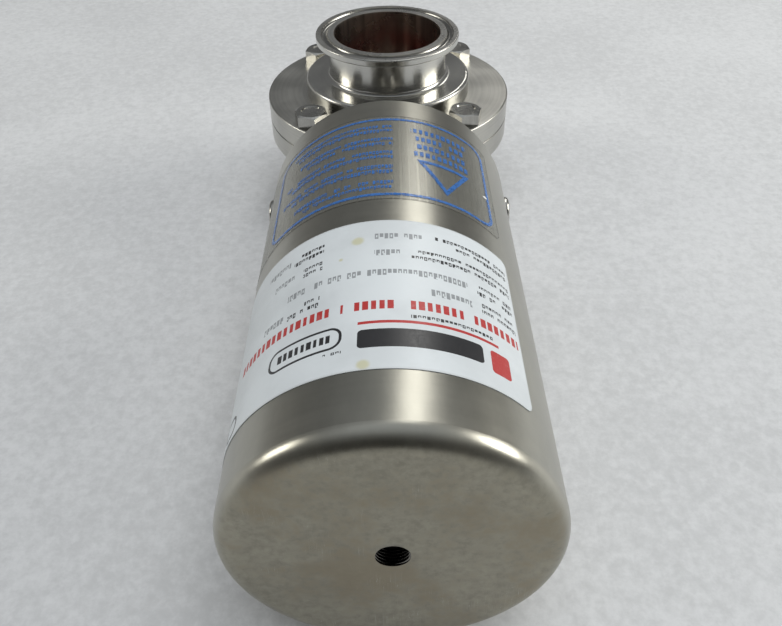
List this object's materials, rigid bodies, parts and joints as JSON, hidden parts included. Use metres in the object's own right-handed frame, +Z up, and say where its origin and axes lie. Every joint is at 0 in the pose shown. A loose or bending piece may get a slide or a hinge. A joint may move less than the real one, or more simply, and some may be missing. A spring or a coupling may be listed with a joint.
{
  "type": "butterfly valve",
  "caption": "Sanitary butterfly valve with clamp ends, bolted body halves and an in-line spring-closing air actuator with a piston and cam shaft.",
  "frame": {"origin": "centre of the lower clamp ferrule's face, on the flow axis", "axes": "+Z up along the flow axis to the upper clamp end; +Y along the actuator, from its cap at -Y to the valve; +X to the right seen from the cap"},
  "size_m": [0.1112, 0.2966, 0.089],
  "materials": {
    "body_steel": "turned and polished stainless steel",
    "tube_steel": "fine brushed stainless steel",
    "fastener_steel": "bright stainless steel",
    "machined_steel": "machined stainless steel",
    "spring_steel": "dark spring wire",
    "piston_aluminium": "turned aluminium",
    "bronze": "sintered bronze",
    "white_plastic": "white bearing plastic",
    "red_rubber": "red silicone rubber",
    "black_rubber": "black nitrile rubber",
    "label_white": "satin white label film",
    "film_clear": "clear film with blue print"
  },
  "bodies": {
    "casing": {"upper_body_half": "body_steel", "lower_body_half": "body_steel", "seat_ring": "red_rubber", "drive_stem_bush": "white_plastic", "tail_stem_bush": "white_plastic", "stem_o_rings": "black_rubber", "body_bolts": "fastener_steel", "body_washers": "fastener_steel", "body_nuts": "fastener_steel", "mounting_bracket": "machined_steel", "bracket_screws": "fastener_steel", "foot_screws": "fastener_steel", "actuator_cylinder": "tube_steel", "air_port_boss": "tube_steel", "end_plug": "machined_steel", "end_plug_o_ring": "black_rubber", "breather": "bronze", "side_screws": "fastener_steel", "data_label": "label_white", "caution_film": "film_clear", "guide_sleeve": "machined_steel", "sleeve_screws": "fastener_steel", "spring_seat": "machined_steel", "outer_spring": "spring_steel", "inner_spring": "spring_steel", "shaft_bush": "bronze", "thrust_washer": "bronze", "shaft_seal": "black_rubber"},
    "piston_set": {"piston": "piston_aluminium", "piston_seal": "black_rubber", "piston_guide_ring": "white_plastic", "cross_pin": "machined_steel", "pin_rollers": "machined_steel"},
    "disc_train": {"butterfly_disc": "body_steel", "drive_coupling": "machined_steel", "output_shaft": "machined_steel", "retaining_ring": "spring_steel"}
  },
  "joints": [
    {"name": "piston_slide", "type": "slide", "parent": "casing", "child": "piston_set", "axis": [0, 1, 0], "range_m": [0, 0.033], "stiffness_N_per_m": 18000, "deforming": ["outer_spring", "inner_spring"]},
    {"name": "disc_turn", "type": "hinge", "parent": "casing", "child": "disc_train", "pos_m": [0, 0, 0.0362], "axis": [0, 1, 0], "range_deg": [0, 90]}
  ],
  "couplings": [
    {"joint": "disc_turn", "follows": "piston_slide", "rad_per_m": 47.599}
  ]
}
